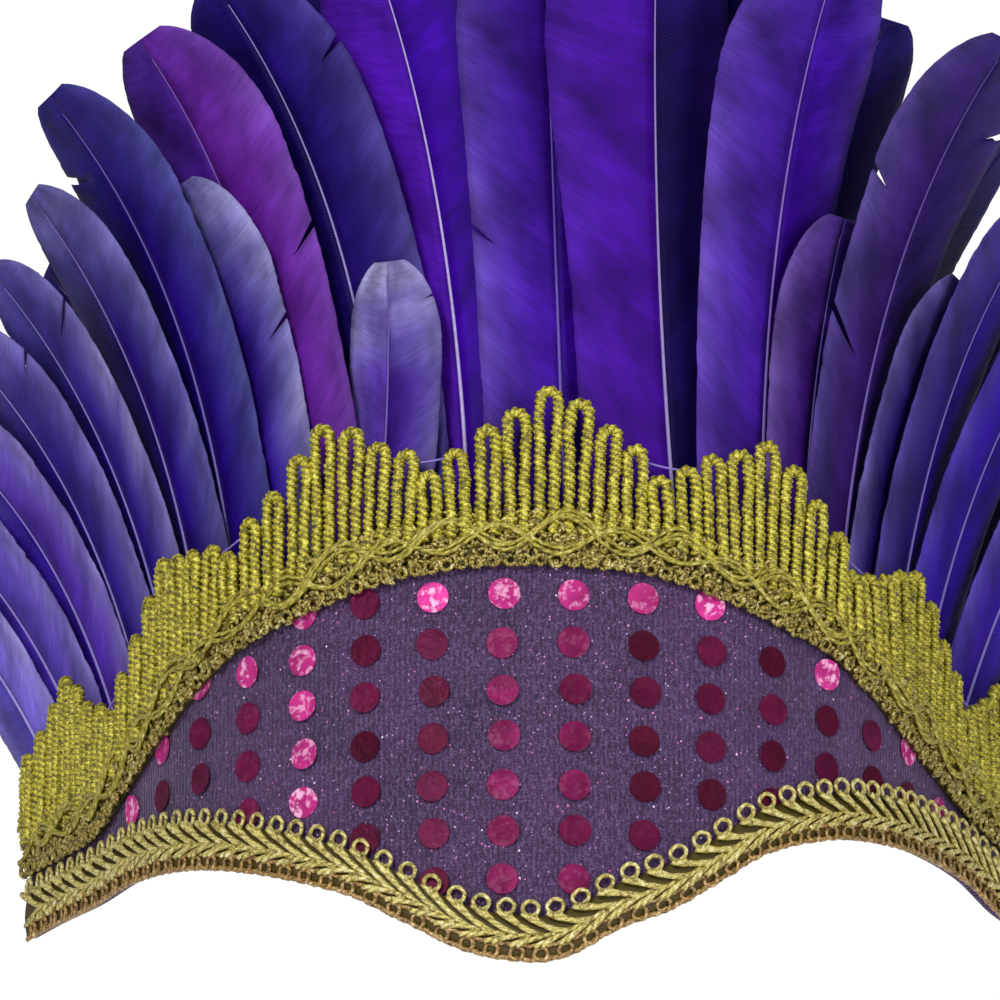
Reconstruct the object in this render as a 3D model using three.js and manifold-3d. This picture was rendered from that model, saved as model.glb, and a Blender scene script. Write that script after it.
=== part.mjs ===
// Feathered carnival headdress: a stiff forehead panel with sequins, a fan lace
// along its arched upper edge, a gimp braid along its lower edge, a ring of goose
// feathers behind it and an elastic strap round the back of the head.
//
// Millimetres, +Z up, the wearer looks along -Y.  The origin is the middle of the
// head opening.  The band leans back by TILT, as it does on a head.
//
// Places on the band are given by s, the length round it from the middle of the
// forehead (positive to +X), h, the height up the band from the tip of the peak,
// and off, the distance out from the front face of the panel.
import * as THREE from 'three';
import { mergeVertices } from 'three/addons/utils/BufferGeometryUtils.js';
import Module from 'manifold-3d';

const wasm = await Module();
wasm.setup();

// ---------------------------------------------------------------- dimensions
const RADIUS = 79;             // forehead curve
const ARC_HALF = 88;           // length of the curve each side, then it runs straight
const HALF_LENGTH = 146;       // half the length of the panel
const TILT = THREE.MathUtils.degToRad(16);
const PEAK = new THREE.Vector3(0, -103.2, -15.1);   // tip of the peak

const PANEL_WALL = 2.4;        // fabric over a stiff core
const PANEL_INSET = 1.5;       // its lower edge stops inside the braid's
const PANEL_STATIONS = 40;
const PANEL_UNDER_LACE = 13;   // how far the panel runs up under the lace
const GAP = 0.3;               // between pieces

const SEQUIN_ACROSS = 6;
const SEQUIN_RAISED = 0.7;
const SEQUIN_SIDES = 6;
const SEQUIN_COLUMN_STEP = 13.3;
const SEQUIN_ROW_STEP = 9.2;
const SEQUIN_COLUMNS = 16;
const SEQUIN_MIDDLE = 1.1;     // the columns sit a little to +X
const FIRST_SEQUIN_ROW = 16.6; // height of the lowest row

const BRAID_WIDTH = 10.2;      // gimp braid without its picots
const BRAID_THICK = 2.2;
const PICOT_STEP = 4.6;
const PICOT_HIGH = 2.2;

const MOTIF_STEP = 43;         // fan lace: seven fans of eight loops
const MOTIFS = 7;
const LOOPS = [8.7, 12.4, 15.9, 20.4, 24, 20.7, 16.7, 13.3];
const LACE_MIDDLE = 2.5;       // the middle fan sits a little to +X
const LACE_BED = 11.5;         // knotted bed along the panel's edge
const LACE_BED_THICK = 3.2;
const LACE_BED_STATIONS = 56;
const LOOP_THICK = 1.9;
const LOOP_OFF = 0.6;          // back of the loops, out from the panel
const CORD = 1.9;              // twisted cord of the loops
const EYE_ABOVE = 15;          // loops over this height stand open between their cords

const STRAP_WIDTH = 20;
const STRAP_THICK = 1.5;
const STRAP_HEIGHT = 43.5;     // its middle line, up the band
const STRAP_OVERLAP = 13;      // sewn behind each end of the panel
const STRAP_RISE = 38;         // it runs up to the back of the head by this much
const STRAP_EASE = 24;         // depth before the panel's ends where the rise would begin
const STRAP_BEND = { radius: 20, turn: 46 };   // just past the panel, degrees

const BLADE_THICK = 1.0;       // a feather at its shaft
const BLADE_EDGE = 0.5;
const BLADE_STEPS = 8;
const QUILL_BARE = 8;          // bare quill at the root
const VANE_FULL = 36;          // from the root to where the vanes are full
const CAMBER = 3;              // each vane falls back from the shaft, degrees
const FLARE = {                // outward from the band, degrees, at its middle and ends
  root: { middle: 0, end: 12 },
  tip: { middle: 22, end: 64 },
  over: 140,                   // length in which it grows from root to tip
};
const SHINGLE = 8;             // each feather's turn under the next
const ROW_CLOSES_IN = 0.02;    // towards the panel again, per mm past the curve
const ROOT_BELOW_EDGE = 32;    // roots are tucked this far below the panel's top
const ROOT_ABOVE_RIM = 7;      // and stay this far above its lower edge

// Edges of the band: height h at lengths s, with smooth curves between.
const LOWER_EDGE = [
  { s: -146, h: 29.3 }, { s: -133, h: 29.3 }, { s: -116, h: 28.8 }, { s: -96, h: 29.2 },
  { s: -67, h: 25 }, { s: -37, h: 15.7 }, { s: -24, h: 8.6 }, { s: -12, h: 2.2 },
  { s: 0, h: 0 }, { s: 7, h: 1.5 }, { s: 16, h: 6.9 }, { s: 26, h: 11.3 },
  { s: 35, h: 17.2 }, { s: 46, h: 24.5 }, { s: 61, h: 29.7 }, { s: 73, h: 31.7 },
  { s: 93, h: 33.3 }, { s: 113, h: 33 }, { s: 129, h: 30 }, { s: 146, h: 29.3 },
];
const LACE_EDGE = [
  { s: -146, h: 41.9 }, { s: -128, h: 41.9 }, { s: -113, h: 42.5 }, { s: -98, h: 49 },
  { s: -83, h: 55.5 }, { s: -62, h: 66 }, { s: -46, h: 70.5 }, { s: -24, h: 75.6 },
  { s: 0, h: 77 }, { s: 24, h: 75.6 }, { s: 46, h: 70 }, { s: 62, h: 65.5 },
  { s: 83, h: 55.7 }, { s: 98, h: 50.5 }, { s: 113, h: 46 }, { s: 128, h: 43.4 },
  { s: 146, h: 42.4 },
];

// Feathers of each row.  s: where the root sits, lean: away from upright at the
// root, bend: how much more at the tip, both in degrees and positive to +X;
// long: root to tip; left and right: the vanes' widths; lift: out from the row.
const FRONT_ROW = [
  { s: -132, lean: -17.6, bend: -22, long: 90, left: 11, right: 11, lift: -0.6 },
  { s: -119, lean: -16, bend: -22, long: 98, left: 11, right: 13, lift: -0.3 },
  { s: -108, lean: -9, bend: -26, long: 106, left: 12, right: 13, lift: 0.6 },
  { s: -98, lean: -8, bend: -18, long: 118, left: 12, right: 14, lift: 0.9 },
  { s: -85, lean: -8.4, bend: -9, long: 125, left: 12, right: 14, lift: 1.4 },
  { s: -74, lean: -7.2, bend: -5.1, long: 129, left: 12, right: 14, lift: 1.5 },
  { s: -65, lean: -3.4, bend: -7.5, long: 140, left: 13, right: 14, lift: 1.3 },
  { s: -56.5, lean: -2.2, bend: -6.5, long: 112, left: 12, right: 15, lift: 0.9 },
  { s: -47, lean: -2.2, bend: -11.5, long: 140, left: 14, right: 16, lift: 0.5 },
  { s: -37.5, lean: 11, bend: -9, long: 86, left: 9, right: 11, lift: 0.9 },
  { s: -29.5, lean: 0.3, bend: -20, long: 144, left: 15, right: 15, lift: -0.7 },
  { s: -12.8, lean: 0.3, bend: -12.5, long: 148, left: 15, right: 17, lift: -1.4 },
  { s: 7.9, lean: -2.4, bend: -0.2, long: 152, left: 16, right: 14, lift: 0 },
  { s: 33.5, lean: -6.4, bend: 0.4, long: 154, left: 18, right: 14, lift: 0 },
  { s: 52, lean: -2.8, bend: -1.5, long: 155, left: 16, right: 14, lift: 0 },
  { s: 62.5, lean: -2.4, bend: -0.2, long: 106, left: 12, right: 12, lift: 0.1 },
  { s: 71, lean: 1, bend: -3, long: 152, left: 14, right: 15, lift: 0.5 },
  { s: 80, lean: 2.8, bend: 0, long: 108, left: 11, right: 12, lift: 0.3 },
  { s: 93, lean: 1.5, bend: -2, long: 131, left: 14, right: 14, lift: 0 },
  { s: 101, lean: 7.9, bend: 3.1, long: 120, left: 14, right: 13, lift: 0 },
  { s: 114, lean: 13, bend: 10, long: 106, left: 13, right: 12, lift: 0 },
  { s: 129, lean: 20, bend: 12, long: 96, left: 12, right: 11, lift: -0.6 },
];
const BACK_ROW = [
  { s: -130, lean: -20, bend: -19, long: 90, left: 11, right: 13, lift: 0 },
  { s: -112, lean: -14, bend: -20, long: 100, left: 12, right: 14, lift: 0 },
  { s: -94, lean: -11, bend: -16, long: 110, left: 13, right: 14, lift: 0 },
  { s: -78, lean: -10, bend: -12, long: 124, left: 13, right: 15, lift: -0.5 },
  { s: -64, lean: -7, bend: -10, long: 136, left: 14, right: 14, lift: -0.7 },
  { s: -46, lean: -5, bend: -10, long: 142, left: 14, right: 14, lift: -0.8 },
  { s: -26, lean: -3, bend: -9, long: 146, left: 15, right: 15, lift: -0.3 },
  { s: -3, lean: -2, bend: -5, long: 150, left: 15, right: 15, lift: -2.4 },
  { s: 17, lean: -3, bend: 0, long: 152, left: 15, right: 15, lift: -0.8 },
  { s: 40, lean: -4, bend: 0, long: 152, left: 15, right: 15, lift: -0.6 },
  { s: 60, lean: -1, bend: 0, long: 148, left: 15, right: 15, lift: -2.1 },
  { s: 80, lean: 2, bend: 2, long: 140, left: 14, right: 14, lift: -3.3 },
  { s: 97, lean: 7, bend: 6, long: 127, left: 13, right: 13, lift: 0 },
  { s: 113, lean: 12, bend: 12, long: 114, left: 13, right: 12, lift: 0 },
  { s: 129, lean: 17, bend: 18, long: 97, left: 12, right: 11, lift: 0 },
];
const ROWS = [
  { name: 'front_feather', feathers: FRONT_ROW, behind: 3.4, bow: 3 },
  { name: 'back_feather', feathers: BACK_ROW, behind: 10, bow: 3 },
];
const MIDDLE_FEATHER = -12.8;    // the lowest of the front row: both neighbours overlap it

const FINISH = {
  panel: { color: 0x453a66, roughness: 0.85, metalness: 0 },
  gold: { color: 0xa89c28, roughness: 0.4, metalness: 0.7 },
  gimp: { color: 0xb0a850, roughness: 0.45, metalness: 0.6 },
  feather: { color: 0x3c1f96, roughness: 0.55, metalness: 0 },
  backFeather: { color: 0x1e1358, roughness: 0.6, metalness: 0 },
  strap: { color: 0x1b1820, roughness: 0.9, metalness: 0 },
};

// ---------------------------------------------------------------- the band's surface
const UP = new THREE.Vector3(0, Math.sin(TILT), Math.cos(TILT));
const BACK = new THREE.Vector3(0, Math.cos(TILT), -Math.sin(TILT));
const SIDE = new THREE.Vector3(1, 0, 0);
const ARC_ANGLE = ARC_HALF / RADIUS;

// Place and heading of the band's plan curve at length s.
function plan(s) {
  const side = Math.sign(s) || 1;
  const along = Math.min(Math.abs(s), ARC_HALF);
  const angle = along / RADIUS;
  const straight = Math.abs(s) - along;
  return {
    x: side * (RADIUS * Math.sin(angle) + straight * Math.cos(angle)),
    depth: RADIUS * (1 - Math.cos(angle)) + straight * Math.sin(angle),
    angle: side * angle,
  };
}

// Directions on the band at s: along it towards +X, out of it, and up it.
function frameAt(s) {
  const { angle } = plan(s);
  return {
    along: SIDE.clone().multiplyScalar(Math.cos(angle)).addScaledVector(BACK, Math.sin(angle)),
    out: SIDE.clone().multiplyScalar(Math.sin(angle)).addScaledVector(BACK, -Math.cos(angle)),
    up: UP.clone(),
  };
}

function onBand(s, h, off = 0) {
  const { x, depth } = plan(s);
  return PEAK.clone()
    .addScaledVector(SIDE, x)
    .addScaledVector(BACK, depth)
    .addScaledVector(UP, h)
    .addScaledVector(frameAt(s).out, off);
}

// Smooth curve through the rows of an edge table.
function edgeHeight(rows, s) {
  const last = rows.length - 1;
  const at = Math.min(Math.max(s, rows[0].s), rows[last].s);
  const i = Math.min(Math.max(rows.findIndex((row) => row.s >= at), 1), last);
  const a = rows[i - 1];
  const b = rows[i];
  const slopeAt = (j) => {
    const before = rows[Math.max(j - 1, 0)];
    const after = rows[Math.min(j + 1, last)];
    return (after.h - before.h) / (after.s - before.s);
  };
  const step = b.s - a.s;
  const t = (at - a.s) / step;
  const rise = b.h - a.h;
  const startBend = slopeAt(i - 1) * step - rise;
  const endBend = rise - slopeAt(i) * step;
  return a.h + rise * t + t * (1 - t) * (startBend * (1 - t) + endBend * t);
}

const lowerEdge = (s) => edgeHeight(LOWER_EDGE, s);
const laceEdge = (s) => Math.max(edgeHeight(LACE_EDGE, s), lowerEdge(s) + BRAID_WIDTH + PICOT_HIGH + GAP);

// ---------------------------------------------------------------- solids
function weld(geometry) {
  geometry.deleteAttribute('normal');
  geometry.deleteAttribute('uv');
  return mergeVertices(geometry, 1e-4);
}

function toSolid(geometry) {
  const welded = weld(geometry.clone());
  const count = welded.attributes.position.count;
  const index = welded.index ? welded.index.array : [...Array(count).keys()];
  return new wasm.Manifold(new wasm.Mesh({
    numProp: 3,
    vertProperties: new Float32Array(welded.attributes.position.array),
    triVerts: new Uint32Array(index),
  }));
}

function toGeometry(solid) {
  const mesh = solid.getMesh();
  const geometry = new THREE.BufferGeometry();
  geometry.setAttribute('position', new THREE.BufferAttribute(new Float32Array(mesh.vertProperties), 3));
  geometry.setIndex([...mesh.triVerts]);
  return geometry;
}

// Closed skin over rings of points, each ring going round the same way.
function skin(rings) {
  const around = rings[0].length;
  const points = rings.flat();
  const faces = [];
  for (let i = 0; i < rings.length - 1; i += 1) {
    for (let j = 0; j < around; j += 1) {
      const a = i * around + j;
      const b = i * around + (j + 1) % around;
      faces.push(a, b + around, b, a, a + around, b + around);
    }
  }
  const end = (rings.length - 1) * around;
  for (let j = 1; j < around - 1; j += 1) {
    faces.push(0, j, j + 1);
    faces.push(end, end + j + 1, end + j);
  }
  const geometry = new THREE.BufferGeometry();
  geometry.setAttribute('position', new THREE.Float32BufferAttribute(points.flatMap((p) => p.toArray()), 3));
  geometry.setIndex(faces);
  return geometry;
}

// A flat outline in (s, h), with holes, laid on the band between two offsets.
function laidOnBand(shape, inner, outer, curveSegments) {
  const geometry = new THREE.ExtrudeGeometry(shape, {
    depth: outer - inner, bevelEnabled: false, curveSegments,
  });
  const position = geometry.attributes.position;
  for (let i = 0; i < position.count; i += 1) {
    const p = onBand(position.getX(i), position.getY(i), inner + position.getZ(i));
    position.setXYZ(i, p.x, p.y, p.z);
  }
  return geometry;
}

// A strip that follows the band: its section at s is a ring of {h, off}.
function stripAlong(stations, section) {
  return skin(stations.map((s) => section(s).map((corner) => onBand(s, corner.h, corner.off))));
}

function spaced(from, to, count) {
  return Array.from({ length: count + 1 }, (_, i) => from + (to - from) * i / count);
}

// ---------------------------------------------------------------- forehead panel
function panelGeometry() {
  const section = (s) => {
    const bottom = lowerEdge(s) + PANEL_INSET;
    const top = laceEdge(s) + PANEL_UNDER_LACE;
    return [
      { h: bottom, off: 0 },
      { h: top, off: 0 },
      { h: top, off: -PANEL_WALL },
      { h: bottom, off: -PANEL_WALL },
    ];
  };
  const shell = toSolid(stripAlong(spaced(-HALF_LENGTH, HALF_LENGTH, PANEL_STATIONS), section));
  return toGeometry(sequinPlaces().reduce((solid, place) => solid.add(sequinSolid(place)), shell));
}

// Middles of the sequins: straight columns, wherever the whole disc shows.
function sequinPlaces() {
  const places = [];
  for (let column = 0; column < SEQUIN_COLUMNS; column += 1) {
    const s = SEQUIN_MIDDLE + (column - (SEQUIN_COLUMNS - 1) / 2) * SEQUIN_COLUMN_STEP;
    const lowest = lowerEdge(s) + BRAID_WIDTH + PICOT_HIGH + GAP + SEQUIN_ACROSS / 2;
    const highest = laceEdge(s) - GAP - SEQUIN_ACROSS / 2;
    for (let h = FIRST_SEQUIN_ROW; h <= highest; h += SEQUIN_ROW_STEP) {
      if (h >= lowest) places.push({ s, h });
    }
  }
  return places;
}

function sequinSolid({ s, h }) {
  const disc = new THREE.Shape();
  for (let i = 0; i < SEQUIN_SIDES; i += 1) {
    const angle = (i + 0.5) * 2 * Math.PI / SEQUIN_SIDES;
    const x = s + Math.cos(angle) * SEQUIN_ACROSS / 2;
    const y = h + Math.sin(angle) * SEQUIN_ACROSS / 2;
    if (i === 0) disc.moveTo(x, y);
    else disc.lineTo(x, y);
  }
  disc.closePath();
  return toSolid(laidOnBand(disc, -PANEL_WALL / 2, SEQUIN_RAISED, 1));
}

// ---------------------------------------------------------------- lower gimp braid
function braidGeometry() {
  const picots = Math.floor(2 * (HALF_LENGTH - 1) / PICOT_STEP);
  const steps = picots * 2;
  const stations = spaced(-HALF_LENGTH + 1, HALF_LENGTH - 1, steps);
  const start = stations[0];
  const section = (s) => {
    const place = (s - start) / (stations[steps] - start) * picots;
    const scallop = Math.sin(Math.PI * (place % 1)) > 0.5 ? 1 : 0;
    const low = lowerEdge(s);
    const high = low + BRAID_WIDTH + PICOT_HIGH * scallop;
    return [
      { h: low, off: GAP + BRAID_THICK * 0.6 },
      { h: low + BRAID_WIDTH * 0.5, off: GAP + BRAID_THICK },
      { h: high, off: GAP + BRAID_THICK * 0.6 },
      { h: high, off: GAP },
      { h: low, off: GAP },
    ];
  };
  return stripAlong(stations, section);
}

// ---------------------------------------------------------------- fan lace
// One loop of a fan: two cords and the round turn that joins them, open between.
function laceLoop(s, height, pitch) {
  const half = pitch / 2;
  const foot = laceEdge(s) + LACE_BED * 0.6;
  const top = laceEdge(s) + LACE_BED + height;
  const outline = new THREE.Shape();
  outline.moveTo(s - half, foot);
  outline.lineTo(s + half, foot);
  outline.lineTo(s + half, top - half);
  outline.absarc(s, top - half, half, 0, Math.PI, false);
  outline.closePath();
  if (height > EYE_ABOVE) outline.holes.push(loopEye(s, top, half));
  return toSolid(laidOnBand(outline, LOOP_OFF, LOOP_OFF + LOOP_THICK, 2));
}

function loopEye(s, top, half) {
  const eye = Math.max(half - CORD * 0.95, 0.55);
  const eyeFoot = laceEdge(s) + LACE_BED + 1.2;
  const opening = new THREE.Path();
  opening.moveTo(s - eye, eyeFoot);
  opening.lineTo(s - eye, top - half);
  opening.absarc(s, top - half, eye, Math.PI, 0, true);
  opening.lineTo(s + eye, eyeFoot);
  opening.closePath();
  return opening;
}

function laceGeometry() {
  const bed = toSolid(stripAlong(spaced(-HALF_LENGTH, HALF_LENGTH, LACE_BED_STATIONS), (s) => {
    const low = laceEdge(s);
    return [
      { h: low, off: GAP + LACE_BED_THICK * 0.5 },
      { h: low + 2.5, off: GAP + LACE_BED_THICK },
      { h: low + LACE_BED - 1.5, off: GAP + LACE_BED_THICK },
      { h: low + LACE_BED, off: GAP + LACE_BED_THICK * 0.9 },
      { h: low + LACE_BED, off: GAP },
      { h: low, off: GAP },
    ];
  }));
  const pitch = MOTIF_STEP / LOOPS.length;
  const loops = [];
  for (let motif = 0; motif < MOTIFS; motif += 1) {
    const middle = LACE_MIDDLE + (motif - (MOTIFS - 1) / 2) * MOTIF_STEP;
    LOOPS.forEach((height, i) => {
      const s = middle + (i - 4) * pitch;
      if (Math.abs(s) < HALF_LENGTH - pitch / 2) loops.push(laceLoop(s, height, pitch - GAP));
    });
  }
  return toGeometry(loops.reduce((solid, loop) => solid.add(loop), bed));
}

// ---------------------------------------------------------------- elastic strap
// Plan of the strap's middle line: behind the panel's end, round the bend, then one
// arc to the middle of the back.
function strapPoints() {
  const off = -PANEL_WALL - GAP - STRAP_THICK / 2;
  const points = [];
  for (const s of spaced(HALF_LENGTH - STRAP_OVERLAP, HALF_LENGTH, 2)) {
    const { x, depth, angle } = plan(s);
    points.push({ x: x + off * Math.sin(angle), depth: depth - off * Math.cos(angle), heading: angle });
  }
  const turn = THREE.MathUtils.degToRad(STRAP_BEND.turn);
  const bend = arcFrom(points[points.length - 1], STRAP_BEND.radius, turn, 5);
  points.push(...bend);
  const end = points[points.length - 1];
  points.push(...arcFrom(end, end.x / Math.sin(end.heading), Math.PI - end.heading, 12));
  return points;
}

function arcFrom(start, radius, turn, steps) {
  const centreX = start.x - radius * Math.sin(start.heading);
  const centreDepth = start.depth + radius * Math.cos(start.heading);
  return spaced(0, turn, steps).slice(1).map((angle) => {
    const heading = start.heading + angle;
    return {
      x: centreX + radius * Math.sin(heading),
      depth: centreDepth - radius * Math.cos(heading),
      heading,
    };
  });
}

function strapGeometry() {
  const right = strapPoints();
  const ends = plan(HALF_LENGTH).depth;
  const deepest = right[right.length - 1].depth;
  const left = right.slice(0, -1).reverse()
    .map(({ x, depth, heading }) => ({ x: -x, depth, heading: 2 * Math.PI - heading }));
  const climb = (depth) => THREE.MathUtils.smoothstep(depth, ends - STRAP_EASE, deepest);
  const rings = [...right, ...left].map(({ x, depth, heading }) => {
    const rise = STRAP_RISE * Math.max(0, (climb(depth) - climb(ends)) / (1 - climb(ends)));
    const middle = PEAK.clone().addScaledVector(SIDE, x).addScaledVector(BACK, depth)
      .addScaledVector(UP, STRAP_HEIGHT + rise);
    const out = SIDE.clone().multiplyScalar(Math.sin(heading)).addScaledVector(BACK, -Math.cos(heading));
    const corner = (up, across) => middle.clone()
      .addScaledVector(UP, up * STRAP_WIDTH / 2).addScaledVector(out, across * STRAP_THICK / 2);
    return [corner(-1, 1), corner(1, 1), corner(1, -1), corner(-1, -1)];
  });
  return skin(rings);
}

// ---------------------------------------------------------------- feathers
// Share of a vane's full width at t, from the root 0 to the tip 1.
function vaneShare(t, long) {
  const quill = 0.09;
  const opened = THREE.MathUtils.smoothstep(t * long, QUILL_BARE, VANE_FULL);
  const toTip = THREE.MathUtils.clamp((t - 0.8) / 0.2, 0, 1);
  return quill + (1 - quill) * opened * Math.sqrt(1 - 0.97 * toTip * toTip);
}

// How far behind the panel a row's roots run: furthest where the band turns straight.
function rowOffset(row, s) {
  const bow = row.bow * Math.min(Math.abs(s) / ARC_HALF, 1);
  const back = ROW_CLOSES_IN * Math.max(0, Math.abs(s) - ARC_HALF);
  return -PANEL_WALL - row.behind - bow + back;
}

// A feather lies along the band's curve, carried outward by its flare.  Its inner
// edge stands proud of its outer edge, so each one overlaps the next towards the middle.
function featherGeometry(row, feather) {
  const side = Math.sign(feather.s - MIDDLE_FEATHER);
  const outward = Math.abs(feather.s) / HALF_LENGTH;
  const rootFlare = THREE.MathUtils.lerp(FLARE.root.middle, FLARE.root.end, outward * outward);
  const tipFlare = THREE.MathUtils.lerp(FLARE.tip.middle, FLARE.tip.end, outward);
  const slope = side * Math.tan(THREE.MathUtils.degToRad(SHINGLE));
  const drop = Math.tan(THREE.MathUtils.degToRad(CAMBER));
  const step = feather.long / BLADE_STEPS;
  const shaft = {
    s: feather.s,
    h: Math.max(
      laceEdge(feather.s) + PANEL_UNDER_LACE - ROOT_BELOW_EDGE,
      lowerEdge(feather.s) + ROOT_ABOVE_RIM,
    ),
    off: rowOffset(row, feather.s) + feather.lift,
  };
  const rings = [];
  for (let i = 0; i <= BLADE_STEPS; i += 1) {
    const t = i / BLADE_STEPS;
    const lean = THREE.MathUtils.degToRad(feather.lean + feather.bend * t);
    const opened = (t * feather.long / FLARE.over) ** 2;
    const flare = THREE.MathUtils.degToRad(THREE.MathUtils.lerp(rootFlare, tipFlare, opened));
    const share = vaneShare(t, feather.long);
    const at = (x, lift) => onBand(
      shaft.s + x * Math.cos(lean),
      shaft.h - x * Math.sin(lean),
      shaft.off + lift - x * slope - Math.abs(x) * drop,
    );
    rings.push([
      at(-feather.left * share, BLADE_EDGE / 2),
      at(-feather.left * share, -BLADE_EDGE / 2),
      at(0, -BLADE_THICK / 2),
      at(feather.right * share, -BLADE_EDGE / 2),
      at(feather.right * share, BLADE_EDGE / 2),
      at(0, BLADE_THICK / 2),
    ]);
    shaft.s += step * Math.sin(lean) * Math.cos(flare);
    shaft.h += step * Math.cos(lean) * Math.cos(flare);
    shaft.off += step * Math.sin(flare);
  }
  return skin(rings);
}

// ---------------------------------------------------------------- the headdress
const headdress = new THREE.Group();
headdress.name = 'feathered_headdress';

function addPiece(name, geometry, finish) {
  const mesh = new THREE.Mesh(weld(geometry), new THREE.MeshStandardMaterial(finish));
  mesh.name = name;
  headdress.add(mesh);
}

addPiece('forehead_panel', panelGeometry(), FINISH.panel);
addPiece('fan_lace_trim', laceGeometry(), FINISH.gold);
addPiece('lower_gimp_braid', braidGeometry(), FINISH.gimp);
addPiece('elastic_strap', strapGeometry(), FINISH.strap);
for (const row of ROWS) {
  const finish = row.name === 'front_feather' ? FINISH.feather : FINISH.backFeather;
  row.feathers.forEach((feather, i) => {
    const number = String(i + 1).padStart(2, '0');
    addPiece(`${row.name}_${number}`, featherGeometry(row, feather), finish);
  });
}

export default headdress;
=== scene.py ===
# Feathered carnival headdress: the soft and fine detail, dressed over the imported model.
#
# Lengths below are millimetres unless a comment says otherwise; meshes are made in metres.
# A place on the band is (s, h, off): the length round it from the middle of the
# forehead, the height up it from the tip of the peak, and the distance out from the
# panel's front face.
import math

import bpy
import numpy as np
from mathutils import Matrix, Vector


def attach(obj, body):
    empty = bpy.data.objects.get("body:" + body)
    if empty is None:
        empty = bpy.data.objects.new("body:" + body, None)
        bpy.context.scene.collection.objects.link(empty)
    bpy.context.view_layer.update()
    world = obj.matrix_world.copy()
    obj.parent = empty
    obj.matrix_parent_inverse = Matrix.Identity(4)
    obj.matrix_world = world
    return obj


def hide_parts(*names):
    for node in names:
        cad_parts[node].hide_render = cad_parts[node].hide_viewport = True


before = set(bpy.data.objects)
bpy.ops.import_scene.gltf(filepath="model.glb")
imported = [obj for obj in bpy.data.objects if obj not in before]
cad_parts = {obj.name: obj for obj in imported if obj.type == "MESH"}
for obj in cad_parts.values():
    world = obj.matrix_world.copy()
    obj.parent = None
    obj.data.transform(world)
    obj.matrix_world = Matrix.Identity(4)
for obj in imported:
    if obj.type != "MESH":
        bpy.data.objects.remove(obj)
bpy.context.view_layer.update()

# ---- the band
RADIUS = 79                  # of the curve across the forehead
ARC_HALF = 88                # length of the curve each side, then it runs straight
HALF_LENGTH = 146            # half the length of the panel
TILT = math.radians(16)
PEAK = np.array([0, -103.2, -15.1])
GAP = 0.3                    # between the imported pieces

PANEL_WALL = 2.4
PANEL_INSET = 1.5            # its lower edge stops inside the braid's
PANEL_UNDER_LACE = 13        # how far the panel runs up under the lace

LACE_MIDDLE = 2.5            # the middle fan sits a little to +X
MOTIF_STEP = 43
MOTIFS = 7
# how high the loops of a fan stand over its bed
LOOPS = [8.7, 12.4, 15.9, 20.4, 24, 20.7, 16.7, 13.3]
LACE_BED = 11.5

BRAID_WIDTH = 10.2
PICOT_STEP = 4.6
PICOT_HIGH = 2.2

SEQUIN_COLUMNS = 16
SEQUIN_COLUMN_STEP = 13.3
SEQUIN_ROW_STEP = 9.2
SEQUIN_MIDDLE = 1.1          # the columns sit a little to +X
FIRST_SEQUIN_ROW = 16.6      # height of the lowest row

LOWER_EDGE = [
    (-146, 29.3), (-133, 29.3), (-116, 28.8), (-96, 29.2), (-67, 25), (-37, 15.7), (-24, 8.6),
    (-12, 2.2), (0, 0), (7, 1.5), (16, 6.9), (26, 11.3), (35, 17.2), (46, 24.5), (61, 29.7),
    (73, 31.7), (93, 33.3), (113, 33), (129, 30), (146, 29.3),
]
LACE_EDGE = [
    (-146, 41.9), (-128, 41.9), (-113, 42.5), (-98, 49), (-83, 55.5), (-62, 66), (-46, 70.5),
    (-24, 75.6), (0, 77), (24, 75.6), (46, 70), (62, 65.5), (83, 55.7), (98, 50.5), (113, 46),
    (128, 43.4), (146, 42.4),
]


def smooth_edge(table, s):
    """Height of an edge at s: a cubic between its points, with the slopes of its neighbours."""
    ts, hs = (np.array(c, float) for c in zip(*table))
    s = np.clip(np.asarray(s, float), ts[0], ts[-1])
    i = np.clip(np.searchsorted(ts, s, side="right") - 1, 0, len(ts) - 2)
    slope = np.empty(len(ts))
    slope[1:-1] = (hs[2:] - hs[:-2]) / (ts[2:] - ts[:-2])
    slope[0] = (hs[1] - hs[0]) / (ts[1] - ts[0])
    slope[-1] = (hs[-1] - hs[-2]) / (ts[-1] - ts[-2])
    step = ts[i + 1] - ts[i]
    t = (s - ts[i]) / step
    rise = hs[i + 1] - hs[i]
    start, end = slope[i] * step - rise, rise - slope[i + 1] * step
    return hs[i] + rise * t + t * (1 - t) * (start * (1 - t) + end * t)


def lower_edge(s):
    return smooth_edge(LOWER_EDGE, s)


def lace_edge(s):
    return np.maximum(smooth_edge(LACE_EDGE, s), lower_edge(s) + BRAID_WIDTH + PICOT_HIGH + GAP)


def band(s, h, off):
    """Points on the band, one row of x, y, z each."""
    s, h, off = np.broadcast_arrays(*(np.asarray(v, float) for v in (s, h, off)))
    side = np.where(s < 0, -1.0, 1.0)
    along = np.minimum(np.abs(s), ARC_HALF)
    angle = along / RADIUS
    straight = np.abs(s) - along
    x = side * (RADIUS * np.sin(angle) + straight * np.cos(angle) + off * np.sin(angle))
    depth = RADIUS * (1 - np.cos(angle)) + straight * np.sin(angle) - off * np.cos(angle)
    y = depth * math.cos(TILT) + h * math.sin(TILT)
    z = h * math.cos(TILT) - depth * math.sin(TILT)
    return PEAK + np.stack([x, y, z], -1)


def band_out(s):
    """Direction out of the band at s."""
    return band(s, 0, 1.0) - band(s, 0, 0.0)


# ---- camera, stage, lights
scene = bpy.context.scene
scene.view_settings.view_transform = "Standard"
AIM = (-6.2, 71.7)          # x and z in the middle of the picture
CAMERA_DISTANCE = 4000
FRONT = -85
VIEW_WIDTH = 187.5          # across the picture at the panel
SENSOR = 36

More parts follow.
